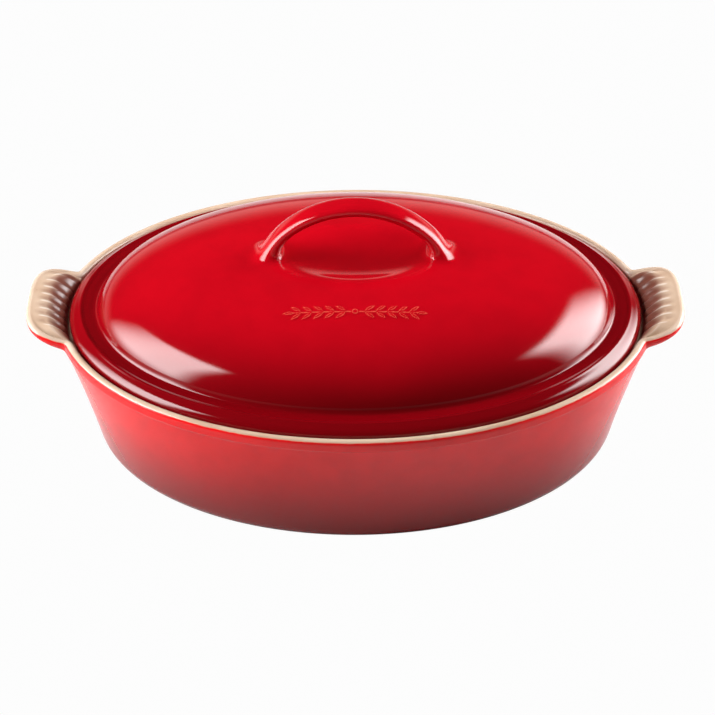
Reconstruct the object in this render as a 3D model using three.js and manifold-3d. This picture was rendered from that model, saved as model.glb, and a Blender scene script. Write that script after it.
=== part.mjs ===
// Oval covered casserole dish in glazed stoneware: a dish with two ear handles,
// and a domed lid that sits inside the dish's rim on a ledge.
// Millimetres, +Z up, the dish's long way along X, its foot on z = 0.
import * as THREE from 'three';
import { mergeVertices } from 'three/addons/utils/BufferGeometryUtils.js';
import Module from 'manifold-3d';

const wasm = await Module();
wasm.setup();

// Driving sizes of the whole object.
const rimHalfWidth = 150.5;       // dish rim, outside, half of its extent in Y
const ovalStretch = 45;           // how much longer each oval's half length is than its half width
const footStretch = 40;           // the same at the foot: the ends lean in more than the sides
const rimHeight = 91;             // top of the dish rim
const tipReach = 215.2;           // tip of an ear handle from the middle
const domeHeight = 133;           // top of the lid's dome
const loopHeight = 170.5;         // top of the lid's loop handle
const restGap = 0.3;              // clearance where the lid rests on its ledge
const turns = 56;                 // segments round each oval
const wallSteps = 4;              // levels up the dish's curved wall
const seamTolerance = 1e-4;       // merges the doubled vertices of a geometry's seams

// Dish.
const rimThickness = 6;
const collarStep = 1;             // how far the rim band stands proud of the wall
const collarHeight = 8;           // height of the rim band
const galleryDepth = 7;           // from the rim's top down to the ledge
const ledgeWidth = 5.5;
const floorThickness = 8;
const wallThickness = 11;         // at the foot of the wall
const footInset = 16.2;           // how far the wall has drawn in where it meets the foot
const footWidth = 12;             // the rounded foot, under the wall
const footHeight = 10;
const footRingWidth = 7;          // flat ring that the dish stands on
const footHollow = 1.5;           // how far the base is raised inside the foot ring
const basinRounding = 18;
const ledgeRounding = 2;

// Lid.
const lidPlay = 1.5;              // clearance round the lid inside the rim
const lidEdgeHeight = 4.5;
const shoulderHeight = 6.6;       // rise of the sloping shoulder above the lid's edge
const shoulderWidth = 8.6;
const ringInset = 11.6;           // flat ring between the shoulder and the dome
const ringWidth = 4.8;
const ringDepth = 1.4;            // below the shoulder's crest
const domeInset = 17;             // from the lid's edge to where the dome's ellipse stands upright
const domeBase = 87.5;            // level where the dome's ellipse stands upright
const lidThickness = 7;
const seatWidth = 8;              // flat ring under the lid's edge
const seatStep = 1.5;             // from the seat up to the hollow's edge
const domeStart = Math.PI / 15;   // where the dome leaves its fillet, up from the level

// Finger well in the top of the dome, an ellipsoid's lower part.
const wellHalfLength = 47;
const wellHalfWidth = 31;
const wellDepth = 10.5;           // below the ellipsoid's middle
const wellLift = 3;               // the ellipsoid's middle above the dome's top

// Loop handle: a strap on an arc in the XZ plane.
const strapHalfWidth = 9;
const strapHalfThickness = 4.2;
const loopRadius = 70.3 - strapHalfThickness;
const loopFootAngle = THREE.MathUtils.degToRad(22);
const footPad = new THREE.Vector3(12, 13, 5); // half sizes of the swelling at each foot

// Ear handles.
const earHalfWidth = 42;
const earTipLevel = 100;
const earThickness = 6;
const earFillet = 7;              // where the ear's edges run into the rim
const earLipRounding = 2.6;
const earLipWidth = 6;
const earCornerLength = 13;       // rounded corners at the tip
const earCornerWidth = 4;
const earRootDepth = 25;          // how far inside the rim's end an ear starts
const scoopHalfWidth = 31;
const scoopDepth = 4;             // below the ear's margins
const scoopMouth = 6;             // how far the scoop cuts in past the gallery's wall

// Places worked out from the sizes above.
const wallTop = rimHeight - collarHeight;
const galleryRadius = rimHalfWidth - rimThickness;
const ledgeLevel = rimHeight - galleryDepth;
const ledgeRadius = galleryRadius - ledgeWidth;
const footRadius = rimHalfWidth - footInset;
const basinRadius = footRadius - wallThickness;
const dishCore = basinRadius - basinRounding;
const rimReach = rimHalfWidth + ovalStretch;
const rootReach = rimReach - earRootDepth;
const lidRadius = galleryRadius - lidPlay;
const lidBottom = ledgeLevel + restGap;
const domeRadius = lidRadius - domeInset;
const domeRise = domeHeight - domeBase;
const hollowRadius = domeRadius - lidThickness;
const hollowRise = domeRise - lidThickness;

// A geometry's triangles as a closed solid that can be joined and cut.
function solid(geometry) {
  const bare = new THREE.BufferGeometry();
  bare.setAttribute('position', geometry.getAttribute('position'));
  bare.setIndex(geometry.getIndex());
  const merged = mergeVertices(bare, seamTolerance);
  const corners = merged.getIndex().array;
  const kept = [];
  for (let i = 0; i < corners.length; i += 3) {
    const [a, b, c] = corners.slice(i, i + 3);
    if (a !== b && b !== c && c !== a) kept.push(a, b, c);
  }
  return new wasm.Manifold(new wasm.Mesh({
    numProp: 3,
    vertProperties: new Float32Array(merged.getAttribute('position').array),
    triVerts: new Uint32Array(kept),
  }));
}

// The solid's triangles as a named mesh, with smooth normals for shading.
function mesh(name, shape, material) {
  const { vertProperties, triVerts } = shape.getMesh();
  const geometry = new THREE.BufferGeometry();
  geometry.setAttribute('position', new THREE.BufferAttribute(vertProperties, 3));
  geometry.setIndex(new THREE.BufferAttribute(triVerts, 1));
  geometry.computeVertexNormals();
  const result = new THREE.Mesh(geometry, material);
  result.name = name;
  return result;
}

// Turns a profile of (distance from the middle in Y, height) into an oval solid. At each
// level every point outside `core` moves out along X alike, so walls keep their thickness.
// Below the rim band the ends curve in more than the sides.
function ovalSolid(profile, core) {
  const geometry = new THREE.LatheGeometry(profile, turns);
  geometry.rotateX(Math.PI / 2);
  const position = geometry.getAttribute('position');
  for (let i = 0; i < position.count; i += 1) {
    const x = position.getX(i);
    const radius = Math.hypot(x, position.getY(i));
    const rise = Math.min(position.getZ(i) / wallTop, 1);
    const stretch = THREE.MathUtils.lerp(footStretch, ovalStretch, rise ** 2);
    position.setX(i, x + stretch * x / Math.max(radius, core));
  }
  return solid(geometry);
}

function ellipsoid(halfSizes, middle) {
  const geometry = new THREE.SphereGeometry(1, 24, 12);
  geometry.scale(halfSizes.x, halfSizes.y, halfSizes.z);
  geometry.translate(middle.x, middle.y, middle.z);
  return solid(geometry);
}

// A shape drawn in (x, z), drawn out along Y on both sides of the middle.
function sideExtrusion(shape, halfWidth) {
  const geometry = new THREE.ExtrudeGeometry(shape, {
    depth: 2 * halfWidth,
    bevelEnabled: false,
    curveSegments: 6,
  });
  geometry.translate(0, 0, -halfWidth);
  geometry.rotateX(Math.PI / 2);
  return solid(geometry);
}

// A shape drawn in (x, y), standing from the ground to above the lid.
function planExtrusion(shape) {
  const geometry = new THREE.ExtrudeGeometry(shape, {
    depth: loopHeight,
    bevelEnabled: false,
    curveSegments: 6,
  });
  return solid(geometry);
}

// A straight wall in a profile, in as many steps as its stretch needs.
function drawWall(path, start, end) {
  for (let i = 1; i <= wallSteps; i += 1) {
    const point = start.clone().lerp(end, i / wallSteps);
    path.lineTo(point.x, point.y);
  }
}

// Inside of the dish, from the ledge's outer corner down to the middle of the floor.
function drawInside(path, clearance) {
  const gallery = galleryRadius + clearance;
  const ledge = ledgeRadius + clearance;
  path.lineTo(gallery, ledgeLevel + ledgeRounding / 2);
  path.quadraticCurveTo(gallery, ledgeLevel, galleryRadius - ledgeRounding / 2, ledgeLevel);
  path.lineTo(ledge + ledgeRounding, ledgeLevel);
  path.quadraticCurveTo(ledge, ledgeLevel, ledge, ledgeLevel - ledgeRounding);
  const wallHead = new THREE.Vector2(ledge, ledgeLevel - ledgeRounding);
  const wallFoot = new THREE.Vector2(basinRadius + clearance, floorThickness + basinRounding);
  drawWall(path, wallHead, wallFoot);
  path.quadraticCurveTo(basinRadius - basinRounding / 6, floorThickness, dishCore, floorThickness);
  path.lineTo(0, floorThickness);
}

function dishShell() {
  const path = new THREE.Path();
  const ringOutside = footRadius - footWidth;
  const ringInside = ringOutside - footRingWidth;
  const rimRounding = rimThickness / 2;
  const wallFoot = new THREE.Vector2(footRadius, footHeight);
  const wallHead = new THREE.Vector2(rimHalfWidth - collarStep, wallTop);
  const wallLean = (wallHead.x - wallFoot.x) / (wallHead.y - wallFoot.y);
  path.moveTo(0, footHollow);
  path.lineTo(ringInside - footHollow, footHollow);
  path.lineTo(ringInside, 0);
  path.lineTo(ringOutside, 0);
  path.quadraticCurveTo(footRadius - wallLean * footHeight, 0, wallFoot.x, wallFoot.y);
  drawWall(path, wallFoot, wallHead);
  path.lineTo(rimHalfWidth, wallTop + collarStep);
  path.lineTo(rimHalfWidth, rimHeight - rimRounding);
  path.absarc(rimHalfWidth - rimRounding, rimHeight - rimRounding, rimRounding, 0, Math.PI);
  drawInside(path, 0);
  return ovalSolid(path.getPoints(4), dishCore);
}

// Everything inside the rim and above it: what the ears must not fill. It reaches a little
// into the walls, by restGap, so the ears' inner ends are buried there.
function dishInside() {
  const path = new THREE.Path();
  path.moveTo(0, loopHeight);
  path.lineTo(galleryRadius + restGap, loopHeight);
  drawInside(path, restGap);
  return ovalSolid(path.getPoints(4).reverse(), dishCore);
}

// Outline of an ear from above, with small fillets where it leaves the rim.
function earPlan() {
  const root = earHalfWidth + earFillet;
  const filletStart = rimReach - 9;
  const filletMiddle = rimReach - 5;
  const filletEnd = rimReach + 3;
  const corner = tipReach - earCornerWidth;
  const side = earHalfWidth - earCornerLength;
  const shape = new THREE.Shape();
  shape.moveTo(rootReach, -root);
  shape.lineTo(filletStart, -root);
  shape.quadraticCurveTo(filletMiddle, -earHalfWidth, filletEnd, -earHalfWidth);
  shape.quadraticCurveTo(corner, -earHalfWidth, corner, -side);
  shape.quadraticCurveTo(tipReach, -side / 2, tipReach, 0);
  shape.quadraticCurveTo(tipReach, side / 2, corner, side);
  shape.quadraticCurveTo(corner, earHalfWidth, filletEnd, earHalfWidth);
  shape.quadraticCurveTo(filletMiddle, earHalfWidth, filletStart, root);
  shape.lineTo(rootReach, root);
  shape.closePath();
  return planExtrusion(shape);
}

// Section of an ear along X: it rises outwards from the rim to a rounded lip.
function earSection() {
  const lipUnder = earTipLevel - 2 * earLipRounding;
  const underRoot = rimHeight - earThickness - 2;
  const shape = new THREE.Shape();
  shape.moveTo(rootReach, rimHeight - 1);
  shape.lineTo(rootReach, underRoot);
  shape.lineTo(rimReach - 5, underRoot);
  shape.quadraticCurveTo(rimReach + 5, underRoot + 2, tipReach - 5, lipUnder - 1);
  shape.quadraticCurveTo(tipReach + 1, lipUnder + 2, tipReach - 0.5, earTipLevel - 1.5);
  shape.quadraticCurveTo(tipReach - 2, earTipLevel + 0.5, tipReach - 5, earTipLevel - 0.5);
  shape.quadraticCurveTo(rimReach + 4, rimHeight, rimReach - 4, rimHeight);
  shape.closePath();
  return sideExtrusion(shape, earHalfWidth + earFillet);
}

// What is scooped out of an ear's upper face, down through the rim to the gallery.
function earScoop() {
  const lipInside = tipReach - earLipWidth;
  const mouth = galleryRadius + ovalStretch - scoopMouth;
  const floorLevel = rimHeight - scoopDepth;
  const section = new THREE.Shape();
  section.moveTo(mouth, loopHeight);
  section.lineTo(mouth, floorLevel);
  section.lineTo(rimReach - 6, floorLevel);
  section.quadraticCurveTo(rimReach + 2, floorLevel + 1, rimReach + 8, floorLevel + 4);
  section.quadraticCurveTo(lipInside - 2, earTipLevel - 4, lipInside, earTipLevel);
  section.lineTo(lipInside, loopHeight);
  section.closePath();
  const plan = new THREE.Shape();
  plan.moveTo(mouth, -scoopHalfWidth - 4);
  plan.quadraticCurveTo(lipInside, -scoopHalfWidth - 3, lipInside, -scoopHalfWidth / 2);
  plan.lineTo(lipInside + 1, 0);
  plan.lineTo(lipInside, scoopHalfWidth / 2);
  plan.quadraticCurveTo(lipInside, scoopHalfWidth + 3, mouth, scoopHalfWidth + 4);
  plan.closePath();
  return sideExtrusion(section, scoopHalfWidth + 8).intersect(planExtrusion(plan));
}

function dish() {
  const ear = earSection().intersect(earPlan()).subtract(dishInside());
  const scoop = earScoop();
  return dishShell()
    .add(ear)
    .add(ear.mirror([1, 0, 0]))
    .subtract(scoop)
    .subtract(scoop.mirror([1, 0, 0]));
}

// Points on a quarter ellipse of the dome family, from an angle up to the axis.
function domeCurve(radius, base, rise, start, count) {
  const points = [];
  for (let i = 0; i <= count; i += 1) {
    const angle = start + (Math.PI / 2 - start) * i / count;
    const reach = i === count ? 0 : radius * Math.cos(angle);
    points.push(new THREE.Vector2(reach, base + rise * Math.sin(angle)));
  }
  return points;
}

// The lid's outside, filled in below: edge, sloping shoulder, flat ring, dome.
function lidOutside() {
  const path = new THREE.Path();
  const edgeTop = lidBottom + lidEdgeHeight;
  const crest = edgeTop + shoulderHeight;
  const ringLevel = crest - ringDepth;
  const ringStart = lidRadius - ringInset;
  path.moveTo(0, lidBottom);
  path.lineTo(lidRadius - 1, lidBottom);
  path.lineTo(lidRadius, lidBottom + 1);
  path.lineTo(lidRadius, edgeTop);
  path.quadraticCurveTo(lidRadius, edgeTop + shoulderHeight / 3, lidRadius - shoulderWidth, crest);
  path.lineTo(ringStart, ringLevel);
  path.lineTo(ringStart - ringWidth, ringLevel);
  const dome = domeCurve(domeRadius, domeBase, domeRise, domeStart, 12);
  path.quadraticCurveTo(domeRadius - 1, ringLevel, dome[0].x, dome[0].y);
  return ovalSolid([...path.getPoints(4), ...dome.slice(1)], domeRadius);
}

// What is hollow under the lid, inside its seat ring: a shallow step, then the dome.
function lidInside() {
  const path = new THREE.Path();
  const stepLevel = lidBottom + seatStep;
  const seatRadius = lidRadius - seatWidth;
  path.moveTo(0, lidBottom - 1);
  path.lineTo(seatRadius, lidBottom - 1);
  path.lineTo(seatRadius, lidBottom);
  path.lineTo(seatRadius - 2, stepLevel);
  const dome = domeCurve(hollowRadius, domeBase, hollowRise, domeStart, 10);
  path.quadraticCurveTo(hollowRadius + 1, stepLevel, dome[0].x, dome[0].y);
  return ovalSolid([...path.getPoints(4), ...dome.slice(1)], domeRadius);
}

function loop() {
  const middle = loopHeight - strapHalfThickness - loopRadius;
  const points = [];
  const count = 12;
  for (let i = 0; i <= count; i += 1) {
    const angle = loopFootAngle + (Math.PI - 2 * loopFootAngle) * i / count;
    const level = middle + loopRadius * Math.sin(angle);
    points.push(new THREE.Vector3(loopRadius * Math.cos(angle), 0, level));
  }
  const section = new THREE.Shape();
  section.absellipse(0, 0, strapHalfWidth, strapHalfThickness, 0, 2 * Math.PI);
  const geometry = new THREE.ExtrudeGeometry(section, {
    steps: 20,
    curveSegments: 6,
    extrudePath: new THREE.CatmullRomCurve3(points),
  });
  const footReach = points[0].x;
  const footLevel = points[0].z + footPad.z / 2;
  const pad = ellipsoid(footPad, new THREE.Vector3(footReach + 1, 0, footLevel));
  return solid(geometry).add(pad).add(pad.mirror([1, 0, 0]));
}

function lid() {
  const wellMiddle = new THREE.Vector3(0, 0, domeHeight + wellLift);
  const well = new THREE.Vector3(wellHalfLength, wellHalfWidth, wellDepth);
  const boss = well.clone().addScalar(lidThickness);
  const hollow = lidInside().subtract(ellipsoid(boss, wellMiddle));
  return lidOutside()
    .subtract(hollow)
    .subtract(ellipsoid(well, wellMiddle))
    .add(loop());
}

const glaze = new THREE.MeshStandardMaterial({ color: 0xc81a24, roughness: 0.12, metalness: 0 });
const lidGlaze = new THREE.MeshStandardMaterial({ color: 0xcf0f1c, roughness: 0.08, metalness: 0 });

const casserole = new THREE.Group();
casserole.add(mesh('dish', dish(), glaze));
casserole.add(mesh('lid', lid(), lidGlaze));

export default casserole;
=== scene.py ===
"""Looks of a red glazed oval casserole dish and its domed lid, around their CAD frame.

Shapes are worked out in millimetres in the CAD frame (+Z up, the long way along X), and
turned to metres where a mesh is made. Lights, camera and materials are in metres.
"""
import math

import bmesh
import bpy
import numpy as np
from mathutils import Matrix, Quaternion, Vector


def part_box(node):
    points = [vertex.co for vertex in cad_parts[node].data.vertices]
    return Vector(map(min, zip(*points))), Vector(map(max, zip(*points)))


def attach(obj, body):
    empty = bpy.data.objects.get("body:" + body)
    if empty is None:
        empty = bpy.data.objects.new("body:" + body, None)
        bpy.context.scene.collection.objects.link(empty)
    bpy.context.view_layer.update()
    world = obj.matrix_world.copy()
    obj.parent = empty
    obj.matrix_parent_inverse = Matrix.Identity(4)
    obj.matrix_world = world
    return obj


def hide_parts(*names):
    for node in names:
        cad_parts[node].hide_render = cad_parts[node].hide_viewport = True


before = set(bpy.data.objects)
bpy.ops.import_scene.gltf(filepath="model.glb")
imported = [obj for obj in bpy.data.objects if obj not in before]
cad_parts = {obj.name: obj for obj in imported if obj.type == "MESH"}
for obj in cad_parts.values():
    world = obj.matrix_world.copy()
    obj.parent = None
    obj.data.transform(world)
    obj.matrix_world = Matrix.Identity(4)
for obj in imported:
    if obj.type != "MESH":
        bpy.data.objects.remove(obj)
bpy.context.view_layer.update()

MM = 0.001
dish_high = np.array(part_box("dish")[1]) / MM
lid_low, lid_high = (np.array(corner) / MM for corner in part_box("lid"))

# Sizes taken from the frame.
TIP_REACH = dish_high[0]
RIM_HALF_WIDTH = dish_high[1]
LID_REACH, LID_HALF_WIDTH, LOOP_TOP = lid_high
LID_REST = lid_low[2]
STRETCH = LID_REACH - LID_HALF_WIDTH  # an oval's half length less its half width
LEDGE_LEVEL = LID_REST - 0.3

# Dish.
FOOT_STRETCH = 40.0
RIM_THICKNESS = 6.0
LIP_RADIUS = RIM_HALF_WIDTH - RIM_THICKNESS / 2  # to the lip's centre line, away from the ears
RIM_HEIGHT = LEDGE_LEVEL + 7.0
COLLAR_STEP = 1.0
COLLAR_FOOT = RIM_HEIGHT - 8.0
GALLERY_RADIUS = RIM_HALF_WIDTH - RIM_THICKNESS
GALLERY_LEVEL = LEDGE_LEVEL + 0.9  # where the gallery's wall turns in to the ledge
LEDGE_RADIUS = GALLERY_RADIUS - 5.5
NOSE_LEVEL = LEDGE_LEVEL - 1.7  # the foot of the ledge's rounded edge
FOOT_RADIUS = RIM_HALF_WIDTH - 16.2  # where the rounded foot meets the wall
FOOT_LEVEL = 10.0
RING_OUTER, RING_INNER = FOOT_RADIUS - 12.8, FOOT_RADIUS - 18.0  # the foot ring's flat
RING_CONTACT = 0.35  # the foot ring is bare clay up to this level
BASE_LEVEL = 1.5  # the base inside the foot ring
FLOOR_LEVEL = 8.0
BASIN_RADIUS = 123.3
BASIN_LEVEL = FLOOR_LEVEL + 18
DISH_CORE = 105.3  # ovals inside this radius shrink evenly to the middle

# Ear handles: each is drawn out of the rim's lip.
EAR_HALF_WIDTH = 40.2  # to the lip's centre line
EAR_LIP = 2.8  # radius of the lip
EAR_SQUARENESS = 3.5
EAR_LIFT = 8.7  # rise of the lip's centre from the rim to the tip
EAR_FILLET = 2.5
EAR_START = 78.0  # level where the wall bends out under an ear
EAR_UNDERSIDE = math.radians(-55)  # where round the lip an ear's underside meets it
EAR_FACE = math.radians(104)  # where round the lip an ear's upper face starts
EAR_LEAN = math.radians(15)
FACE_BEND = np.array([0.48, 0.48, 0.86])  # where a face bends, as shares from gallery to lip
EAR_CORNER = (29, 35)  # an ear's corners lie this far across it
EAR_COLUMNS = (150, 172), (60, 50)  # the columns close up between these along X, and Y
COLUMN_STEPS = (3.3, 0.95)  # from column to column along the rim, and at the ears
FLUTES = 7
FLUTE_PITCH = 8.5
FLUTE_DEPTH = 1.25
FLUTE_MOUTH = (5.0, 12.5)  # how far in from the lip a flute begins, and is at its full depth
MOUTH_ARCH = 7.0  # its sides begin a quarter of this further in
FLUTE_SOFTNESS = 0.012  # rounds the bottom of a flute

# Lid.
DOME_RADIUS = LID_HALF_WIDTH - 17.0
DOME_BASE = 87.5
DOME_RISE = 45.5
DOME_SQUARENESS = 2.2  # an ellipse is 2
DOME_START = math.radians(10.8)
EDGE_TOP = LID_REST + 4.5
SHOULDER = EDGE_TOP + 6.6
LID_THICKNESS = 7.0
WELL_LENGTH, WELL_WIDTH = 47.0, 31.0
WELL_FLOOR = DOME_BASE + DOME_RISE - 7.5
WELL_DEPTH = 6.1  # below its lip
WELL_LIP = 2.6  # its lip is rounded where the dome and the bowl are this close
ROLL_HEIGHT, ROLL_RADIUS, ROLL_WIDTH = 0.2, 37, 5.5  # a faint roll round the well
BOSS_DEPTH = 14.0

# Loop handle: a strap on an arc in the XZ plane.
STRAP_WIDTH, STRAP_THICKNESS = 9.0, 4.2  # half sizes
LOOP_RADIUS = 66.1
LOOP_MIDDLE = LOOP_TOP - STRAP_THICKNESS - LOOP_RADIUS
LOOP_END = math.radians(24.5)
LOOP_FLARE = math.radians(50)
STRAP_SQUARENESS = 2.5
LOOP_BLEND = 11.0  # the strap and the dome flow together where they are this close
FOOT_GROWTH = 2.6  # how much the strap's half sizes grow at its feet
BURIED_SHARE = 0.5  # its section shrinks to this at its buried ends
SEAM_REACH, SEAM_HALF_WIDTH = (45, 80), 25  # the strap's feet meet the dome inside these
SEAM_LEVEL = DOME_BASE + DOME_RISE * 0.5  # and above this
SLIVER = 0.35  # points along the seam that are closer than this are merged
SKIN = 1.5  # a point no further than this inside the dome or the strap is on its surface
BLEND_ROUNDS = 14

# The "cream" value of the meshes: 0 where the coloured and the cream glaze meet.
RED_SIDE, CREAM_SIDE = -5.0, 5.0
CREAM_BORDER = math.radians(40)  # where round the lip the cream glaze starts
EAR_BORDER_DROP = math.radians(33)  # how much sooner it starts at an ear's tip

# Painted shade on the ears: a value that is 1 where the deep part of an ear's face, next to the
# lid, is painted brown-red for the lid's shadow and the red it reflects into the cream.
SHADE_REACH = 0.58  # share of an ear's face, from the gallery
SHADE_SLANT, SHADE_RUN = 0.12, 0.12  # more towards the back, and more along the flutes
SHADE_FADE = 0.34


def smoothstep(low, high, value):
    t = np.clip((value - low) / (high - low), 0, 1)
    return t * t * (3 - 2 * t)


def lerp(a, b, t):
    return a + (b - a) * t


def bezier(controls, count):
    """The points after the first on a Bezier curve; a control may be an array of points."""
    degree = len(controls) - 1
    return [
        sum(
            math.comb(degree, i) * t**i * (1 - t) ** (degree - i) * np.asarray(c, float)
            for i, c in enumerate(controls)
        )
        for t in np.arange(1, count + 1) / count
    ]


def unit(vectors):
    return vectors / np.linalg.norm(vectors, axis=-1, keepdims=True)


def upright(flat, level):
    """Points in plan with their levels."""
    return np.column_stack([flat, np.broadcast_to(level, len(flat))])


# ---------------------------------------------------------------- meshes


def grid_mesh(name, rows, start, end, values):
    """A closed mesh from rings of points, with one point closing each end.

    values names a number for each vertex, row by row, with the end points last.
    """
    across = len(rows[0])
    vertices = np.concatenate(rows + [np.array([start, end])])
    here = np.arange(len(rows) - 1)[:, None] * across + np.arange(across)
    there = np.roll(here, -1, axis=1)
    quads = np.stack([here, there, there + across, here + across], axis=-1).reshape(-1, 4)
    ring = np.arange(across)
    after = np.roll(ring, -1)
    first = len(rows) * across
    last_row = (len(rows) - 1) * across
    fans = [
        np.stack([after, ring, np.full(across, first)], axis=-1),
        np.stack([ring + last_row, after + last_row, np.full(across, first + 1)], axis=-1),
    ]
    faces = quads.tolist() + fans[0].tolist() + fans[1].tolist()
    mesh = bpy.data.meshes.new(name)
    mesh.from_pydata((vertices * MM).tolist(), [], faces)
    for key, numbers in values.items():
        mesh.attributes.new(key, "FLOAT", "POINT").data.foreach_set(
            "value", np.asarray(numbers, np.float32)
        )
    mesh.shade_smooth()
    outward(mesh)
    return mesh


def outward(mesh):
    shape = bmesh.new()
    shape.from_mesh(mesh)
    bmesh.ops.recalc_face_normals(shape, faces=shape.faces)
    shape.to_mesh(mesh)
    shape.free()


def add_object(name, mesh):
    piece = bpy.data.objects.new(name, mesh)
    bpy.context.scene.collection.objects.link(piece)
    return piece


def positions(mesh):
    flat = np.empty(len(mesh.vertices) * 3, np.float32)
    mesh.vertices.foreach_get("co", flat)
    return flat.reshape(-1, 3).astype(float) / MM


def edge_ends(mesh):
    flat = np.empty(len(mesh.edges) * 2, np.int32)
    mesh.edges.foreach_get("vertices", flat)
    return flat.reshape(-1, 2)


def neighbour_mean(points, edges):
    total = np.zeros_like(points)
    count = np.zeros(len(points))
    for here, there in (edges.T, edges.T[::-1]):
        np.add.at(total, here, points[there])
        np.add.at(count, here, 1)
    return total / np.maximum(count, 1)[:, None]


def add_sharpness(mesh):
    """Stores how convex the surface is at each vertex, in curvature per millimetre."""
    points = positions(mesh)
    edges = edge_ends(mesh)
    normals = np.empty(len(points) * 3, np.float32)
    mesh.vertex_normals.foreach_get("vector", normals)
    normals = normals.reshape(-1, 3)
    lengths = np.linalg.norm(points[edges[:, 0]] - points[edges[:, 1]], axis=1)
    squares = np.zeros(len(points))
    count = np.zeros(len(points))
    for end in edges.T:
        np.add.at(squares, end, lengths**2)
        np.add.at(count, end, 1)
    offset = points - neighbour_mean(points, edges)
    bend = 4 * (offset * normals).sum(axis=1) * count / np.maximum(squares, 1e-9)
    mesh.attributes.new("sharpness", "FLOAT", "POINT").data.foreach_set(
        "value", np.clip(bend, -1, 1).astype(np.float32)
    )


# ---------------------------------------------------------------- dish


def rim_outline():
    """The lip's centre line seen from above, as (points, reach of each beyond an ear's root).

    It runs once round from the right ear's tip, in steps of half a millimetre.
    """
    step = 0.5
    root_angle = math.asin(EAR_HALF_WIDTH / LIP_RADIUS)
    root = (LIP_RADIUS + STRETCH) * math.cos(root_angle)
    t = np.linspace(0, math.pi / 2, 2000)
    ear = np.column_stack([
        root + (TIP_REACH - EAR_LIP - root) * np.cos(t) ** (2 / EAR_SQUARENESS),
        EAR_HALF_WIDTH * np.sin(t) ** (2 / EAR_SQUARENESS),
    ])
    angle = np.linspace(root_angle, math.pi / 2, 2000)[1:]
    rim = np.column_stack([(LIP_RADIUS + STRETCH) * np.cos(angle), LIP_RADIUS * np.sin(angle)])
    quarter = np.concatenate([ear, rim])
    half = np.concatenate([quarter, (quarter * [-1, 1])[-2::-1]])
    whole = np.concatenate([half, (half * [1, -1])[-2::-1]])
    along = np.concatenate([[0], np.cumsum(np.linalg.norm(np.diff(whole, axis=0), axis=1))])
    count = 4 * round(along[-1] / step / 4)
    at = np.arange(count) * along[-1] / count
    points = np.column_stack([np.interp(at, along, whole[:, i]) for i in (0, 1)])
    radius = round(4 * EAR_FILLET / step)
    weights = np.exp(-0.5 * (np.arange(-radius, radius + 1) * step / EAR_FILLET) ** 2)
    weights /= weights.sum()
    points = sum(w * np.roll(points, k - radius, axis=0) for k, w in enumerate(weights))
    beyond = np.abs(points[:, 0]) - root
    soft = 3.0
    reach = np.where(
        beyond > soft, beyond, np.clip(beyond + soft, 0, None) ** 2 / (4 * soft)
    )
    return points, reach


def dish_columns():
    """Where the dish's columns stand: lip centre, its outward direction, its reach beyond
    the ear's root, and the angle of the plain oval that the column comes from.
    """
    points, reach = rim_outline()
    steps = np.linalg.norm(np.roll(points, -1, axis=0) - points, axis=1)
    along = np.concatenate([[0], np.cumsum(steps)])
    # The corners of the ears take less of the oval than their own length.
    corner = np.clip(reach / 5, 0, 1) * smoothstep(*EAR_CORNER, np.abs(points[:, 1]))
    fine = np.linspace(0, 2 * math.pi, 8001)
    oval = np.column_stack([(LIP_RADIUS + STRETCH) * np.cos(fine), LIP_RADIUS * np.sin(fine)])
    oval_along = np.concatenate([[0], np.cumsum(np.linalg.norm(np.diff(oval, axis=0), axis=1))])
    excess = (along[-1] - oval_along[-1]) / (corner * steps).sum()
    travel = np.concatenate([[0], np.cumsum(steps * (1 - excess * corner))])
    angle = np.interp(travel, oval_along, fine)
    # Columns stand closer together at the ears.
    along_x, along_y = EAR_COLUMNS
    near = smoothstep(*along_x, np.abs(points[:, 0])) * smoothstep(*along_y, np.abs(points[:, 1]))
    place = np.concatenate([[0], np.cumsum(steps / lerp(*COLUMN_STEPS, near))])
    count = 4 * round(place[-1] / 4)
    at = np.interp(np.arange(count) * place[-1] / count, place, along)
    closed = np.concatenate([points, points[:1]])
    centre = np.column_stack([np.interp(at, along, closed[:, i]) for i in (0, 1)])
    tangent = np.roll(points, -1, axis=0) - np.roll(points, 1, axis=0)
    tangent = np.concatenate([tangent, tangent[:1]])
    tangent = unit(np.column_stack([np.interp(at, along, tangent[:, i]) for i in (0, 1)]))
    normal = np.column_stack([tangent[:, 1], -tangent[:, 0]])
    return {
        "centre": centre,
        "normal": normal,
        "reach": np.interp(at, along, np.append(reach, reach[0])),
        "angle": np.interp(at, along, angle),
    }


def dish_ring(angle, radius, level):
    """One oval of the dish."""
    rise = min(max(level / COLLAR_FOOT, 0), 1)
    stretch = lerp(FOOT_STRETCH, STRETCH, rise**2)
    length = radius + stretch * radius / max(radius, DISH_CORE)
    flat = np.column_stack([length * np.cos(angle), radius * np.sin(angle)])
    return upright(flat, level)


def flutes(across, inset):
    """How deep the ears' scalloped flutes are, by place across and inset from the lip."""
    half = FLUTES * FLUTE_PITCH / 2
    phase = np.mod(across + half, FLUTE_PITCH) / FLUTE_PITCH - 0.5
    off_centre = np.sqrt((2 * phase) ** 2 + FLUTE_SOFTNESS) - 0.05
    scallop = 1 - np.clip(off_centre, 0, 1) ** 1.7
    inside = smoothstep(half + 0.4, half - 0.4, np.abs(across))
    mouth = smoothstep(*FLUTE_MOUTH, inset - MOUTH_ARCH * phase**2)
    return FLUTE_DEPTH * scallop * inside * mouth


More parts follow.
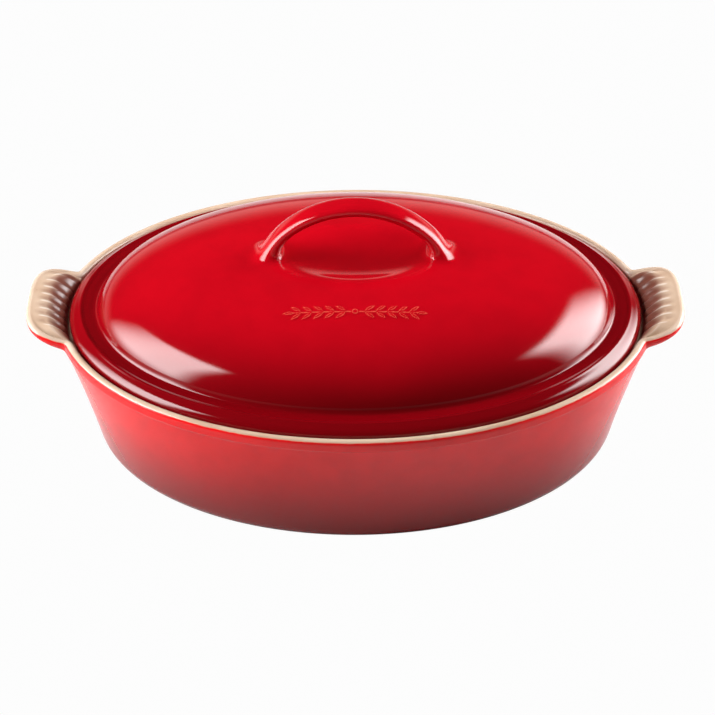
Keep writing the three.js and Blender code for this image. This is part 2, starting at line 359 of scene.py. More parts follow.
def dish_mesh():
    """The dish, ring by ring: out over the foot, up the wall, over the lip and down inside."""
    columns = dish_columns()
    angle = columns["angle"]
    ear = np.clip(columns["reach"] / columns["reach"].max(), 0, 1)[:, None]
    lip_radius = lerp(RIM_THICKNESS / 2, EAR_LIP, ear)
    centre = upright(
        columns["centre"], RIM_HEIGHT - RIM_THICKNESS / 2 + EAR_LIFT * ear[:, 0] ** 1.3
    )
    normal = upright(columns["normal"], 0.0)
    up = np.array([0.0, 0.0, 1.0])
    rows, cream, painted_shade = [], [], {}

    def turned(profile, distance):
        for radius, level in profile:
            rows.append(dish_ring(angle, radius, level))
            cream.append(np.full(len(angle), distance))

    def lip_point(turn):
        return centre + lip_radius * (np.cos(turn) * normal + np.sin(turn) * up)

    def lip_tangent(turn):
        return -np.sin(turn) * normal + np.cos(turn) * up

    wall_foot = np.array([FOOT_RADIUS, FOOT_LEVEL])
    wall_head = np.array([RIM_HALF_WIDTH - COLLAR_STEP, COLLAR_FOOT])
    wall_way = unit(wall_head - wall_foot)
    below_ear = wall_foot + wall_way * ((EAR_START - FOOT_LEVEL) / wall_way[1])

    # Base, foot ring, rounded foot and wall.
    turned(bezier([(0, BASE_LEVEL), (RING_INNER - 3, BASE_LEVEL)], 7), RED_SIDE)
    turned(bezier([(RING_INNER - 3, BASE_LEVEL), (RING_INNER - 1.4, BASE_LEVEL),
                   (RING_INNER - 1.2, 0), (RING_INNER, 0)], 5), RED_SIDE)
    turned(bezier([(RING_INNER, 0), (RING_OUTER, 0)], 3), RED_SIDE)
    turned(bezier([(RING_OUTER, 0), (RING_OUTER + 7.5, 0),
                   wall_foot - wall_way * 6.8, wall_foot], 11), RED_SIDE)
    turned(bezier([wall_foot, below_ear], 18), RED_SIDE)

    # Outside of the collar, or the underside of an ear.
    gallery = dish_ring(angle, GALLERY_RADIUS, GALLERY_LEVEL)
    outwards = unit((centre - gallery) * [1, 1, 0])
    start, finish = EAR_UNDERSIDE * ear, lerp(math.pi, EAR_FACE, ear)
    hanging = bezier([
        dish_ring(angle, *below_ear),
        dish_ring(angle, *(below_ear + 6 * wall_way)),
        lip_point(start) - lerp(3.0, 8.0, ear) * lip_tangent(start),
        lip_point(start),
    ], 16)
    collar_top = np.array([RIM_HALF_WIDTH, RIM_HEIGHT - RIM_THICKNESS / 2])
    step_head = np.array([RIM_HALF_WIDTH, COLLAR_FOOT + 1.5])
    step_foot = wall_head - wall_way * 0.3
    collar = (
        bezier([below_ear, step_foot], 3)
        + bezier([step_foot, step_foot + wall_way * 0.7, step_head - [0, 0.9], step_head], 8)
        + bezier([step_head, collar_top], 5)
    )
    smooth = bezier([
        below_ear, below_ear + 6 * wall_way, collar_top - [0, 3], collar_top,
    ], len(collar))
    fade = smoothstep(0.25, 0.0, ear)
    for row, stepped, plain in zip(hanging, collar, smooth):
        out, rise = stepped - plain
        rows.append(row + fade * (out * outwards + rise * up))
        cream.append(np.full(len(angle), RED_SIDE))

    # Lip, from its outer side over its top.
    border = CREAM_BORDER - EAR_BORDER_DROP * ear * normal[:, :1] ** 2
    for t in np.arange(1, 15) / 14:
        turn = lerp(start, finish, t)
        rows.append(lip_point(turn))
        cream.append((lip_radius * (turn - border))[:, 0])

    # Upper face of an ear, or the gallery's upright wall.
    face_head = lip_point(finish)
    lean = math.pi / 2 - EAR_LEAN * ear
    bend = gallery + (face_head - gallery) * FACE_BEND
    way = unit(face_head - gallery)
    reach_out = np.linalg.norm(face_head - bend, axis=1, keepdims=True) / 3
    reach_in = np.linalg.norm(bend - gallery, axis=1, keepdims=True) / 3
    face = bezier([
        face_head, face_head + reach_out * lip_tangent(finish), bend + reach_out * way, bend,
    ], 18) + bezier([
        bend, bend - reach_in * way,
        gallery + reach_in * (np.cos(lean) * outwards + np.sin(lean) * up), gallery,
    ], 18)
    sink = unit(0.6 * outwards - up)
    on_ear = smoothstep(0.3, 0.7, ear[:, 0])
    width = np.linalg.norm((face_head - gallery)[:, :2], axis=1)
    for row in face:
        inset = np.linalg.norm((row - centre)[:, :2], axis=1) + EAR_LIP
        fade = smoothstep(0.35, 0.7, ear[:, 0]) * smoothstep(0.0, 2.0, row[:, 2] - gallery[:, 2])
        groove = flutes(row[:, 1], inset) * fade
        share = np.linalg.norm((row - gallery)[:, :2], axis=1) / width
        edge = SHADE_REACH + SHADE_SLANT * row[:, 1] / EAR_HALF_WIDTH
        edge += SHADE_RUN * groove / FLUTE_DEPTH
        # Painted shade deep in the ear's face next to the lid, more towards the back and along
        # the flutes.
        painted_shade[len(rows)] = on_ear * smoothstep(edge, edge - SHADE_FADE, share)
        rows.append(row + groove[:, None] * sink)
        cream.append(np.full(len(angle), CREAM_SIDE))

    # Ledge, inner wall, basin and floor.
    ledge_back = (GALLERY_RADIUS - 1.2, LEDGE_LEVEL)
    ledge_front = (LEDGE_RADIUS + 1.4, LEDGE_LEVEL)
    nose = np.array([LEDGE_RADIUS, NOSE_LEVEL])
    basin = np.array([BASIN_RADIUS, BASIN_LEVEL])
    floor_edge = (DISH_CORE - 2, FLOOR_LEVEL)
    turned(bezier([(GALLERY_RADIUS, GALLERY_LEVEL), (GALLERY_RADIUS, LEDGE_LEVEL + 0.3),
                   (GALLERY_RADIUS - 0.4, LEDGE_LEVEL), ledge_back], 4), CREAM_SIDE)
    turned(bezier([ledge_back, ledge_front], 2), CREAM_SIDE)
    turned(bezier([ledge_front, (LEDGE_RADIUS + 0.4, LEDGE_LEVEL),
                   (LEDGE_RADIUS, LEDGE_LEVEL - 0.6), nose], 4), CREAM_SIDE)
    turned(bezier([nose, basin], 11), CREAM_SIDE)
    turned(bezier([basin, basin + unit(basin - nose) * 14, (DISH_CORE + 9, FLOOR_LEVEL),
                   floor_edge], 10), CREAM_SIDE)
    turned(bezier([floor_edge, (0, FLOOR_LEVEL)], 8)[:-1], CREAM_SIDE)

    # The painted shade's shares, row by row.
    painted_shade_rows = np.zeros((len(rows), len(angle)))
    for index, shares in painted_shade.items():
        painted_shade_rows[index] = shares
    return grid_mesh("dish_body", rows, (0, 0, BASE_LEVEL), (0, 0, FLOOR_LEVEL), {
        "cream": np.concatenate(cream + [[RED_SIDE, CREAM_SIDE]]),
        "painted_shade": np.append(painted_shade_rows.ravel(), [0.0, 0.0]),
    })


# ---------------------------------------------------------------- lid


def lid_stretch():
    """A table of an oval's added half length against its radius, smooth from the middle
    through the well's and the dome's own lengths.
    """
    radius = np.linspace(0, LID_HALF_WIDTH, 1431)
    well_slope = WELL_LENGTH / WELL_WIDTH - 1
    inner = smoothstep(46, 28, radius)
    outer = smoothstep(DOME_RADIUS - 12, DOME_RADIUS + 7, radius)
    middle = (1 - inner) * (1 - outer)
    step = radius[1]
    slope = (STRETCH / step - (inner * well_slope).sum()) / middle.sum()
    rate = inner * well_slope + middle * slope
    return radius, np.concatenate([[0], np.cumsum((rate[1:] + rate[:-1]) / 2 * step)])


STRETCH_TABLE = lid_stretch()


def lid_reach(radius):
    return radius + np.interp(radius, *STRETCH_TABLE)


def dome_level(radius, rise, outer):
    share = np.clip(1 - np.clip(radius / outer, 0, None) ** DOME_SQUARENESS, 0, None)
    return DOME_BASE + rise * share ** (1 / DOME_SQUARENESS)


def soft_min(a, b, width):
    """The lesser of two heights, rounded over where they are within a width of each other."""
    overlap = np.clip(width - np.abs(a - b), 0, None) / width
    return np.minimum(a, b) - overlap**3 * width / 6


def lid_top(radius):
    """Level of the lid's upper side inside the dome's foot."""
    dome = dome_level(radius, DOME_RISE, DOME_RADIUS)
    roll = ROLL_HEIGHT * np.exp(-(((radius - ROLL_RADIUS) / ROLL_WIDTH) ** 2))
    bowl = WELL_FLOOR + WELL_DEPTH * (radius / WELL_WIDTH) ** 2
    return soft_min(dome + roll, bowl, WELL_LIP)


def leaf(x, y, middle, turn, length, width):
    """Height from 0 to 1 of one pointed leaf."""
    across, along = x - middle[0], y - middle[1]
    u = across * math.cos(turn) + along * math.sin(turn)
    v = -across * math.sin(turn) + along * math.cos(turn)
    room = width * (1 - (u / length) ** 2)
    blade = smoothstep(0.0, 1.1, room - np.abs(v))
    vein = 0.35 * np.exp(-((v / 0.5) ** 2)) * smoothstep(0.8, 0.4, np.abs(u) / length)
    return blade * (1 - vein)


SPRIG_FRONT = -63.5  # its stem's place in Y
SPRIG_HEIGHT = 0.75
SPRIG_COLUMNS = (60, 50)  # the lid's columns close up between these along X
LEAF_LENGTH, LEAF_WIDTH, LEAF_TURN = 4.6, 1.9, math.radians(38)
LEAF_PAIRS = 5
FIRST_LEAF, LEAF_PITCH, LEAF_OFFSET = 9.1, 7.0, 3.0
TIP_LEAF = 41.5


def sprig(x, y):
    """Relief of the plain leaf sprig on the front of the dome."""
    side = np.abs(x)
    height = np.zeros_like(x)
    for pair in range(LEAF_PAIRS):
        for up in (1, -1):
            middle = (FIRST_LEAF + pair * LEAF_PITCH, SPRIG_FRONT + up * LEAF_OFFSET)
            one = leaf(side, y, middle, up * LEAF_TURN, LEAF_LENGTH, LEAF_WIDTH)
            height = np.maximum(height, one)
    tip = leaf(side, y, (TIP_LEAF, SPRIG_FRONT), 0.0, LEAF_LENGTH, LEAF_WIDTH)
    stem = smoothstep(1.1, 0.3, np.abs(y - SPRIG_FRONT)) * smoothstep(39, 37, side)
    bud = smoothstep(3.0, 1.6, np.hypot(x, y - SPRIG_FRONT))
    return SPRIG_HEIGHT * np.maximum.reduce([height, tip, 0.7 * stem, bud])


def lid_angles():
    """Angles of the lid's columns, closer together at the sprig."""
    fine = np.linspace(0, 2 * math.pi, 20001)
    front = -SPRIG_FRONT
    ring = np.column_stack([lid_reach(front) * np.cos(fine), front * np.sin(fine)])
    outer = np.column_stack([LID_REACH * np.cos(fine), LID_HALF_WIDTH * np.sin(fine)])
    steps = np.linalg.norm(np.diff(ring, axis=0), axis=1)
    outer_steps = np.linalg.norm(np.diff(outer, axis=0), axis=1)
    middle = (ring[1:] + ring[:-1]) / 2
    near = smoothstep(*SPRIG_COLUMNS, np.abs(middle[:, 0])) * (middle[:, 1] < 0)
    place = np.concatenate([[0], np.cumsum(lerp(outer_steps / 3.4, steps / 0.62, near))])
    count = 4 * round(place[-1] / 4)
    return np.interp(np.arange(count) * place[-1] / count, place, fine)


def lid_mesh():
    """The lid without its loop, ring by ring: out under it, round its edge and in over it."""
    angle = lid_angles()
    rows, cream, bare = [], [], []

    def turned(profile, distance, unglazed=0.0):
        for radius, level in profile:
            flat = np.column_stack([
                lid_reach(radius) * np.cos(angle), radius * np.sin(angle),
            ])
            rows.append(upright(flat, level))
            cream.append(np.full(len(angle), distance))
            bare.append(np.full(len(angle), unglazed))

    def spread(start, stop, count):
        return lerp(start, stop, np.arange(1, count + 1) / count)

    hollow_radius = DOME_RADIUS - LID_THICKNESS
    hollow_rise = DOME_RISE - LID_THICKNESS
    boss_width = WELL_WIDTH + LID_THICKNESS

    def under(radius):
        hollow = dome_level(radius, hollow_rise, hollow_radius)
        boss = WELL_FLOOR - LID_THICKNESS + BOSS_DEPTH * (radius / boss_width) ** 4
        return soft_min(hollow, boss, 7)

    # Underside: boss, hollow, seat ring.
    seat = LID_HALF_WIDTH - 8
    hollow_foot = hollow_radius * math.cos(DOME_START)
    for count, stop in ((5, 24), (12, 48), (14, hollow_foot)):
        start = 0 if not rows else rows[-1][:, 1].max()
        turned([(r, under(r)) for r in spread(start, stop, count)], CREAM_SIDE)
    step_level = LID_REST + 1.5
    step_start, step_end = (hollow_radius + 5, step_level), (seat - 3, step_level)
    edge_start, edge_head = (LID_HALF_WIDTH - 1.6, LID_REST), (LID_HALF_WIDTH, LID_REST + 1.6)
    turned(bezier([(hollow_foot, under(hollow_foot)), (hollow_radius + 0.6, step_level + 3.4),
                   (hollow_radius + 1, step_level), step_start], 9), CREAM_SIDE)
    turned(bezier([step_start, step_end], 2), CREAM_SIDE)
    turned(bezier([step_end, (seat - 1.2, step_level), (seat - 1.2, LID_REST),
                   (seat, LID_REST)], 5), CREAM_SIDE)
    # The cream glaze ends where its value falls from 4 to -1, at the edge's lower corner.
    turned(bezier([(seat, LID_REST), edge_start], 4), 4, 1.0)
    turned(bezier([edge_start, (LID_HALF_WIDTH - 0.5, LID_REST),
                   (LID_HALF_WIDTH, LID_REST + 0.5), edge_head], 6), -1)

    # Edge, sloping shoulder, sunk ring and the dome's fillet.
    crest = np.array([LID_HALF_WIDTH - 6.6, SHOULDER - 0.5])
    chamfer = np.array([-0.83, 0.56])
    ring = np.array([LID_HALF_WIDTH - 10.4, SHOULDER - 1.1])
    ring_end = np.array([LID_HALF_WIDTH - 16.4, SHOULDER - 1.5])
    dome_foot = DOME_RADIUS * math.cos(DOME_START)
    dome_edge, further_in = (
        np.array([radius, lid_top(radius)]) for radius in (dome_foot, dome_foot - 0.1)
    )
    dome_slope = unit(further_in - dome_edge)
    turned(bezier([edge_head, (LID_HALF_WIDTH, EDGE_TOP)], 4), RED_SIDE)
    turned(bezier([(LID_HALF_WIDTH, EDGE_TOP), (LID_HALF_WIDTH, EDGE_TOP + 3.4),
                   crest - chamfer * 2.2, crest], 13), RED_SIDE)
    turned(bezier([crest, crest + chamfer * 1.3, ring + [1.9, 0.3], ring], 8), RED_SIDE)
    turned(bezier([ring, ring_end], 3), RED_SIDE)
    turned(bezier([ring_end, ring_end - [1.4, 0],
                   dome_edge - dome_slope * 1.4, dome_edge], 8), RED_SIDE)

    # Dome and well, with rows closest under the sprig and round the well's lip.
    for count, stop in ((11, 81), (36, 54), (8, 41), (26, 27), (9, 3)):
        start = rows[-1][:, 1].max()
        turned([(r, lid_top(r)) for r in spread(start, stop, count)], RED_SIDE)
    for row, side in zip(rows, cream):
        on_dome = row[0, 2] > SHOULDER + 5 and side[0] == RED_SIDE
        if on_dome:
            row[:, 2] += sprig(row[:, 0], row[:, 1])

    return grid_mesh("lid_body", rows, (0, 0, under(0.0)), (0, 0, lid_top(0.0)), {
        "cream": np.concatenate(cream + [[CREAM_SIDE, RED_SIDE]]),
        "bare": np.concatenate(bare + [[0.0, 0.0]]),
    })


def strap_sizes(turn):
    """Half width and half thickness of the strap where the arc has turned up by an angle.

    The strap thickens inwards, so its middle line moves in as far as it grows.
    """
    growth = FOOT_GROWTH * smoothstep(LOOP_FLARE, LOOP_END, turn) ** 1.5
    return STRAP_WIDTH + growth, STRAP_THICKNESS + growth


def loop_mesh():
    """The strap, closed at both ends, which are buried in the dome."""
    around, along = 44, 110
    rows = []
    section = np.arange(around) * 2 * math.pi / around
    power = 2 / STRAP_SQUARENESS
    across = np.sign(np.cos(section)) * np.abs(np.cos(section)) ** power
    through = np.sign(np.sin(section)) * np.abs(np.sin(section)) ** power
    for t in np.arange(along + 1) / along:
        turn = lerp(LOOP_END, math.pi - LOOP_END, t)
        rise = min(turn, math.pi - turn)
        half_width, half_thickness = strap_sizes(rise)
        shown = smoothstep(LOOP_END, LOOP_END + math.radians(4), rise)
        buried = lerp(BURIED_SHARE, 1.0, shown)
        middle = LOOP_RADIUS + STRAP_THICKNESS - half_thickness
        radius = middle + through * half_thickness * buried
        rows.append(np.column_stack([
            radius * math.cos(turn),
            across * half_width * buried,
            LOOP_MIDDLE + radius * math.sin(turn),
        ]))
    count = around * len(rows) + 2
    return grid_mesh("loop", rows, rows[0].mean(axis=0), rows[-1].mean(axis=0), {
        "cream": np.full(count, RED_SIDE),
        "bare": np.zeros(count),
    })


def lid_field(points):
    """Rough distance above the lid's upper side, in millimetres."""
    x, y = np.abs(points[:, :2]).T
    low = np.full(len(x), 0.01)
    high = np.full(len(x), float(LID_HALF_WIDTH))
    for _ in range(26):
        middle = (low + high) / 2
        outside = (x / lid_reach(middle)) ** 2 + (y / middle) ** 2 > 1
        low = np.where(outside, middle, low)
        high = np.where(outside, high, middle)
    radius = (low + high) / 2
    slope = (lid_top(radius + 0.2) - lid_top(radius - 0.2)) / 0.4
    lean = np.where(y * 2 > x, 1.0, 0.75)  # the dome is less steep along its length
    return (points[:, 2] - lid_top(radius)) / np.hypot(1, slope * lean)


def loop_field(points):
    """Rough distance outside the strap, in millimetres."""
    x, y, z = np.abs(points[:, 0]), np.abs(points[:, 1]), points[:, 2] - LOOP_MIDDLE
    half_width, half_thickness = strap_sizes(np.arctan2(z, x))
    middle = LOOP_RADIUS + STRAP_THICKNESS - half_thickness
    q = np.abs(np.hypot(x, z) - middle) / half_thickness + 1e-6
    s = y / half_width + 1e-6
    n = STRAP_SQUARENESS
    size = (q**n + s**n) ** (1 / n)
    slope = size ** (1 - n) * np.hypot(q ** (n - 1) / half_thickness, s ** (n - 1) / half_width)
    return (size - 1) / slope


def blended(points):
    return soft_min(lid_field(points), loop_field(points), LOOP_BLEND)


def onto_blend(points):
    """Moves points onto the surface where the strap flows into the dome."""
    step = 0.05
    for _ in range(3):
        value = blended(points)
        slope = np.column_stack([
            (blended(points + offset) - blended(points - offset)) / (2 * step)
            for offset in np.eye(3) * step
        ])
        # Short steps keep points in place where the two fields nearly cancel.
        move = value / np.maximum((slope**2).sum(axis=1), 0.2)
        points = points - np.clip(move, -3, 3)[:, None] * slope
    return points


def at_seam(place):
    """Whether a place, in metres, is near where the strap's feet meet the dome."""
    x, y, z = (abs(part) / MM for part in place)
    low, high = SEAM_REACH
    return low < x < high and y < SEAM_HALF_WIDTH and z > SEAM_LEVEL


def join_loop(body, strap):
    """Joins the strap to the lid as one closed mesh, with soft fillets at its feet."""
    union = body.modifiers.new("union", "BOOLEAN")
    union.operation = "UNION"
    union.solver = "EXACT"
    union.object = strap
    bpy.context.view_layer.update()
    joined = bpy.data.meshes.new_from_object(
        body.evaluated_get(bpy.context.evaluated_depsgraph_get())
    )
    body.modifiers.clear()
    body.data = joined
    bpy.data.objects.remove(strap)
    shape = bmesh.new()
    shape.from_mesh(joined)
    seam = [vertex for vertex in shape.verts if at_seam(vertex.co)]
    bmesh.ops.remove_doubles(shape, verts=seam, dist=SLIVER * MM)
    bmesh.ops.triangulate(shape, faces=[f for f in shape.faces if len(f.verts) > 4])
    shape.to_mesh(joined)
    shape.free()

    # What lies near both the dome and the strap is smoothed onto the fillet between them.
    points = positions(joined)
    edges = edge_ends(joined)
    near_top = points[:, 2] > DOME_BASE + DOME_RISE * 0.7
    near_top &= (np.abs(points[:, 0]) < 95) & (np.abs(points[:, 1]) < 40)
    zone = np.flatnonzero(near_top)
    for field in (lid_field, loop_field):
        distance = field(points[zone])
        zone = zone[(distance > -SKIN) & (distance < LOOP_BLEND + 2)]
    points[zone] = onto_blend(points[zone])
    for _ in range(BLEND_ROUNDS - 1):
        middle = neighbour_mean(points, edges)
        points[zone] = onto_blend(lerp(points[zone], middle[zone], 0.5))
    joined.vertices.foreach_set("co", (points * MM).astype(np.float32).ravel())
    joined.shade_smooth()
    joined.update()

    # The join can lose this value, so it is set again all over the upper side.
    cream = joined.attributes["cream"].data
    values = np.empty(len(points), np.float32)
    cream.foreach_get("value", values)
    values[(points[:, 2] > SHOULDER) & (lid_field(points) > -SKIN)] = RED_SIDE
    cream.foreach_set("value", values)


# ---------------------------------------------------------------- materials


def node(tree, kind, inputs=None, output=0, **settings):
    """Adds a node, sets or links its inputs, and returns one of its outputs."""
    made = tree.nodes.new(kind)
    for key, value in settings.items():
        setattr(made, key, value)
    for key, value in (inputs or {}).items():
        if isinstance(value, bpy.types.NodeSocket):
            tree.links.new(value, made.inputs[key])
        else:
            made.inputs[key].default_value = value
    return made.outputs[output] if made.outputs else None


def colour(red, green, blue):
    """Linear colour of an sRGB one given out of 255."""
    def linear(value):
        value /= 255
        return value / 12.92 if value <= 0.04045 else ((value + 0.055) / 1.055) ** 2.4
    return (linear(red), linear(green), linear(blue), 1.0)


def mix(tree, factor, a, b, kind="RGBA"):
    """A colour or, where kind is FLOAT, a number between a and b."""
    made = tree.nodes.new("ShaderNodeMix")
    made.data_type = kind
    sockets = [s for s in made.inputs if s.enabled and s.name in ("Factor", "A", "B")]
    for socket, value in zip(sockets, (factor, a, b)):
        if isinstance(value, bpy.types.NodeSocket):
            tree.links.new(value, socket)
        else:
            socket.default_value = value
    return next(s for s in made.outputs if s.enabled)


def ramp(tree, value, low, high, to_low=0.0, to_high=1.0):
    """A value taken smoothly from one range to another."""
    return node(tree, "ShaderNodeMapRange", {
        "Value": value, "From Min": low, "From Max": high, "To Min": to_low, "To Max": to_high,
    }, interpolation_type="SMOOTHSTEP")


def math_node(tree, operation, a, b=0.0):
    made = tree.nodes.new("ShaderNodeMath")
    made.operation = operation
    for socket, value in zip(made.inputs, (a, b)):
        if isinstance(value, bpy.types.NodeSocket):
            tree.links.new(value, socket)
        else:
            socket.default_value = value
    return made.outputs[0]


def noise(tree, place, scale, detail=2.0):
    return node(tree, "ShaderNodeTexNoise", {"Vector": place, "Scale": scale, "Detail": detail})


def attribute(tree, name):
    return node(tree, "ShaderNodeAttribute", output="Fac", attribute_name=name)


CREAM = colour(214, 188, 164)
CREAM_DEEP = colour(188, 152, 124)
CREAM_PALE = colour(246, 238, 228)
# Brown-red for glaze pooled in concave places, and for the painted shade deep in the ears.
POOL_AND_SHADE_BROWN = colour(118, 50, 38)
SPECK = colour(120, 84, 60)
BISQUE = colour(214, 190, 160)
THIN_GLAZE = colour(240, 112, 88)
ENDS_PAINTED_LIGHT = 12.0  # painted light: how far the darker foot of the glaze drops at the ends, which stand nearer the softboxes, per metre to the 4th
CREAM_ROUGHNESS = 0.2
CLAY_ROUGHNESS = 0.75
GLAZE_IOR = 1.5


def coloured_glaze(tree, place, sharp, upper, lower, levels):
    """Darker towards the bottom, partly the glaze's own gradient and partly painted shade on the
    lower parts, with painted light lifting the ends; thin and paler over edges, and faintly
    mottled.
    """
    x, z = (node(tree, "ShaderNodeSeparateXYZ", {"Vector": place}, output=axis) for axis in "XZ")
    # Painted light: the ends are lifted out of the darker foot, as if lit more by the near
    # softboxes.
    ends_light = math_node(tree, "MULTIPLY", math_node(tree, "POWER", x, 4.0), ENDS_PAINTED_LIGHT)
    level = math_node(tree, "ADD", z, ends_light)
    cloud = noise(tree, place, 14, 3)
    wander = math_node(tree, "MULTIPLY", math_node(tree, "SUBTRACT", cloud, 0.5), 0.012)
    # Partly painted shade: the lower colour takes over low down.
    gradient_and_shade = ramp(tree, math_node(tree, "ADD", level, wander), levels[0], levels[1])
    body = mix(tree, gradient_and_shade, lower, upper)
    mottle = ramp(tree, noise(tree, place, 55, 4), 0.3, 0.75, 0.0, 0.16)
    body = mix(tree, mottle, body, lower)
    return mix(tree, ramp(tree, sharp, 0.15, 0.8, 0.0, 0.4), body, THIN_GLAZE)


def cream_glaze(tree, place, sharp):
    """Cloudy cream with iron specks, pale over edges, brown where it has pooled in concave
    places, and with painted shade deep in the ears.
    """
    body = mix(tree, ramp(tree, noise(tree, place, 30, 4), 0.35, 0.7), CREAM, CREAM_DEEP)
    body = mix(tree, 0.55, CREAM, body)
    cells = node(tree, "ShaderNodeTexVoronoi", {"Vector": place, "Scale": 330.0})
    rare = ramp(tree, noise(tree, place, 120, 1), 0.6, 0.68)
    specks = math_node(tree, "MULTIPLY", ramp(tree, cells, 0.16, 0.08), rare)
    body = mix(tree, math_node(tree, "MULTIPLY", specks, 0.55), body, SPECK)
    body = mix(tree, ramp(tree, sharp, 0.1, 0.42, 0.0, 0.55), body, CREAM_PALE)
    body = mix(tree, ramp(tree, sharp, -0.02, -0.3, 0.0, 0.3), body, POOL_AND_SHADE_BROWN)
    # Painted shade: the ears' faces turn brown-red next to the lid, for its shadow and the red it
    # reflects.
    return mix(tree, math_node(tree, "MULTIPLY", attribute(tree, "painted_shade"), 0.88), body, POOL_AND_SHADE_BROWN)


def glaze(name, upper, lower, levels, roughness, ripple_depth):
    """Coloured glaze, cream glaze where the cream value is over 0, and bare clay where the
    bare value is 1. The coloured glaze goes from its lower to its upper colour between levels;
    the lower colour is partly painted shade.
    """
    material = bpy.data.materials.new(name)
    material.use_nodes = True
    tree = material.node_tree
    shader = next(n for n in tree.nodes if n.type == "BSDF_PRINCIPLED")
    place = node(tree, "ShaderNodeTexCoord", output="Object")
    sharp = attribute(tree, "sharpness")
    red = coloured_glaze(tree, place, sharp, upper, lower, levels)
    clay = cream_glaze(tree, place, sharp)

    # The border between the two, a little uneven, with a blush of red in the cream.
    border = math_node(tree, "SUBTRACT", noise(tree, place, 160, 3), 0.5)
    border = math_node(tree, "MULTIPLY", border, 0.9)
    border = math_node(tree, "ADD", attribute(tree, "cream"), border)
    is_cream = ramp(tree, border, -0.12, 0.22)
    blush = ramp(tree, border, 0.9, 0.0, 0.0, 0.5)
    body = mix(tree, is_cream, red, mix(tree, blush, clay, THIN_GLAZE))

    # Bare clay, with its grain.
    bare = ramp(tree, attribute(tree, "bare"), 0.3, 0.7)
    grain = noise(tree, place, 900, 2)
    body = mix(tree, bare, body, mix(tree, grain, BISQUE, CREAM_DEEP))
    tree.links.new(body, shader.inputs["Base Color"])

    gloss = ramp(tree, noise(tree, place, 45, 3), 0.3, 0.7, roughness * 0.8, roughness * 1.25)
    gloss = mix(tree, is_cream, gloss, CREAM_ROUGHNESS, "FLOAT")
    gloss = mix(tree, bare, gloss, CLAY_ROUGHNESS, "FLOAT")
    tree.links.new(gloss, shader.inputs["Roughness"])

    ripple = node(tree, "ShaderNodeBump", {
        "Strength": 1.0, "Distance": ripple_depth, "Height": noise(tree, place, 130, 2),
    })
    rough_clay = node(tree, "ShaderNodeBump", {
        "Strength": bare, "Distance": 0.0002, "Height": grain, "Normal": ripple,
    })
    tree.links.new(rough_clay, shader.inputs["Normal"])
    shader.inputs["IOR"].default_value = GLAZE_IOR
    return material


# ---------------------------------------------------------------- pieces

# The lower colours are partly the glazes' own gradient and partly painted shade on the lower
# parts.
dish_glaze = glaze(
    "dish_glaze", colour(240, 24, 28), colour(126, 22, 22), (0.0, 0.092), 0.11, 0.00002
)
lid_glaze = glaze(
    "lid_glaze", colour(192, 5, 23), colour(124, 3, 12), (0.098, 0.132), 0.07, 0.00001
)

dish = add_object("dish_body", dish_mesh())
add_sharpness(dish.data)
bare_foot = (positions(dish.data)[:, 2] < RING_CONTACT).astype(np.float32)
dish.data.attributes.new("bare", "FLOAT", "POINT").data.foreach_set("value", bare_foot)
dish.data.materials.append(dish_glaze)

lid = add_object("lid_body", lid_mesh())
join_loop(lid, add_object("loop", loop_mesh()))
add_sharpness(lid.data)
lid.data.materials.clear()
lid.data.materials.append(lid_glaze)

for piece, body, slot in ((dish, "dish", "dish_glaze"), (lid, "lid", "lid_glaze")):
    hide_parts(body)
    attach(piece, body)

# ---------------------------------------------------------------- stage and light

TARGET = Vector((0.00134, 0.0, 0.0488))
CAMERA_DISTANCE = 1.5
CAMERA_ELEVATION = math.radians(35)
CAMERA_ROLL = math.radians(-0.2)
FOCAL_LENGTH = 112.7
BOX_DISTANCE = 0.7
BOX_ORIGIN = 0.12  # the softboxes stand off from a point this far out from the middle
ROOM_LIGHT = 0.03
WALL_LIGHT = 0.9
WALL_TOP = 0.26  # sine of the elevation where the wall's glow ends
WALL_COLOUR = (1.0, 0.6, 0.56, 1.0)
WHITE = (1.0, 1.0, 1.0, 1.0)
TABLE_GREY = (0.67, 0.67, 0.67, 1.0)
FLOOR_WHITE = 0.98
FLOOR_HALF = 6.0
FLOOR_GAP = 0.0002  # keeps the floor just clear of the foot ring


def direction(azimuth, elevation):
    """A direction by azimuth from +Y towards +X and elevation, both in degrees."""
    a, e = math.radians(azimuth), math.radians(elevation)
    return Vector((math.sin(a) * math.cos(e), math.cos(a) * math.cos(e), math.sin(e)))


def soft_edges(tree, place, low, low_full, high_full, high):
    """1 between two full marks, falling to 0 at the outer ones."""
    rise = ramp(tree, place, low, low_full)
    return math_node(tree, "MULTIPLY", rise, ramp(tree, place, high, high_full))


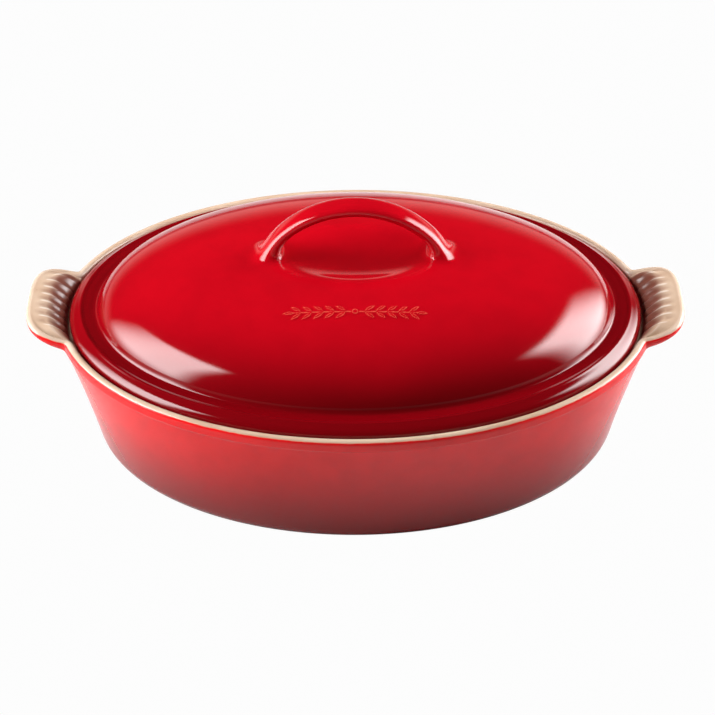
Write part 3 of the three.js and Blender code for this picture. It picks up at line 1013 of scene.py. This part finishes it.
def softbox(name, facing, span, height, radiance):
    """An upright softbox in the plane that stands BOX_DISTANCE away in one direction.

    span and height give where its light begins, is full, starts to fade and ends: span
    along the plane from the nearest point, towards greater azimuth, and height from the
    lid's level, both as shares of the distance.
    """
    light = bpy.data.lights.new(name, "AREA")
    light.shape = "RECTANGLE"
    light.size = (span[3] - span[0]) * BOX_DISTANCE
    light.size_y = (height[3] - height[0]) * BOX_DISTANCE
    light.energy = radiance * math.pi * light.size * light.size_y
    light.use_nodes = True
    tree = light.node_tree
    emission = next(n for n in tree.nodes if n.type == "EMISSION")
    place = node(tree, "ShaderNodeNewGeometry", output="Parametric")
    x, y = (node(tree, "ShaderNodeSeparateXYZ", {"Vector": place}, output=axis) for axis in "XY")
    profiles = []
    for part, marks in ((math_node(tree, "SUBTRACT", 1.0, x), span), (y, height)):
        shares = [(mark - marks[0]) / (marks[3] - marks[0]) for mark in marks]
        profiles.append(soft_edges(tree, part, *shares))
    strength = math_node(tree, "MULTIPLY", *profiles)
    tree.links.new(strength, emission.inputs["Strength"])
    way = direction(facing, 0)
    along = direction(facing + 90, 0)
    rise = Vector((0, 0, 1))
    middle = way + along * (span[0] + span[3]) / 2 + rise * (height[0] + height[3]) / 2
    lamp = bpy.data.objects.new(name, light)
    lamp.location = way * BOX_ORIGIN + rise * LID_REST * MM + middle * BOX_DISTANCE
    lamp.rotation_euler = way.to_track_quat("Z", "Y").to_euler()
    lamp.visible_camera = False
    bpy.context.scene.collection.objects.link(lamp)


def add_camera():
    camera = bpy.data.cameras.new("camera")
    camera.lens = FOCAL_LENGTH
    camera.sensor_width = 36.0
    eye = bpy.data.objects.new("camera", camera)
    back = direction(180, math.degrees(CAMERA_ELEVATION))
    eye.location = TARGET + back * CAMERA_DISTANCE
    turn = back.to_track_quat("Z", "Y") @ Quaternion((0, 0, 1), CAMERA_ROLL)
    eye.rotation_euler = turn.to_euler()
    bpy.context.scene.collection.objects.link(eye)
    bpy.context.scene.camera = eye


def floor_material():
    """Pale floor: evenly white to the camera, a plain pale table to everything else."""
    material = bpy.data.materials.new("floor")
    material.use_nodes = True
    tree = material.node_tree
    tree.nodes.clear()
    path = node(tree, "ShaderNodeLightPath", output="Is Camera Ray")
    white = node(tree, "ShaderNodeEmission", {"Color": WHITE, "Strength": FLOOR_WHITE})
    table = node(tree, "ShaderNodeBsdfDiffuse", {"Color": TABLE_GREY})
    both = node(tree, "ShaderNodeMixShader", {0: path, 1: table, 2: white})
    node(tree, "ShaderNodeOutputMaterial", {"Surface": both})
    return material


def add_floor():
    mesh = bpy.data.meshes.new("floor")
    signs = ((-1, -1), (1, -1), (1, 1), (-1, 1))
    corners = [(x * FLOOR_HALF, y * FLOOR_HALF, 0) for x, y in signs]
    mesh.from_pydata(corners, [], [(0, 1, 2, 3)])
    floor = add_object("floor", mesh)
    floor.location.z = -FLOOR_GAP
    mesh.materials.append(floor_material())


def add_world():
    """White to the camera; to the object, a dim room with a warm glow along the horizon."""
    world = bpy.data.worlds.new("studio")
    world.use_nodes = True
    tree = world.node_tree
    tree.nodes.clear()
    path = node(tree, "ShaderNodeLightPath", output="Is Camera Ray")
    white = node(tree, "ShaderNodeBackground", {"Color": WHITE, "Strength": 1.0})
    way = node(tree, "ShaderNodeTexCoord", output="Generated")
    height = node(tree, "ShaderNodeSeparateXYZ", {"Vector": way}, output="Z")
    wall = ramp(tree, height, WALL_TOP, 0.0, ROOM_LIGHT, WALL_LIGHT)
    dim = node(tree, "ShaderNodeBackground", {"Color": WALL_COLOUR, "Strength": wall})
    both = node(tree, "ShaderNodeMixShader", {0: path, 1: dim, 2: white})
    node(tree, "ShaderNodeOutputWorld", {"Surface": both})
    bpy.context.scene.world = world


add_floor()
add_world()
softbox("left_softbox", -118, (-0.14, 0.12, 0.5, 1.85), (0.06, 0.42, 1.4, 1.66), 11.8)
softbox("right_softbox", 98, (-1.9, -0.6, -0.32, 0.14), (-0.06, 0.3, 1.12, 1.44), 12.0)
add_camera()
bpy.context.scene.view_settings.view_transform = "Standard"
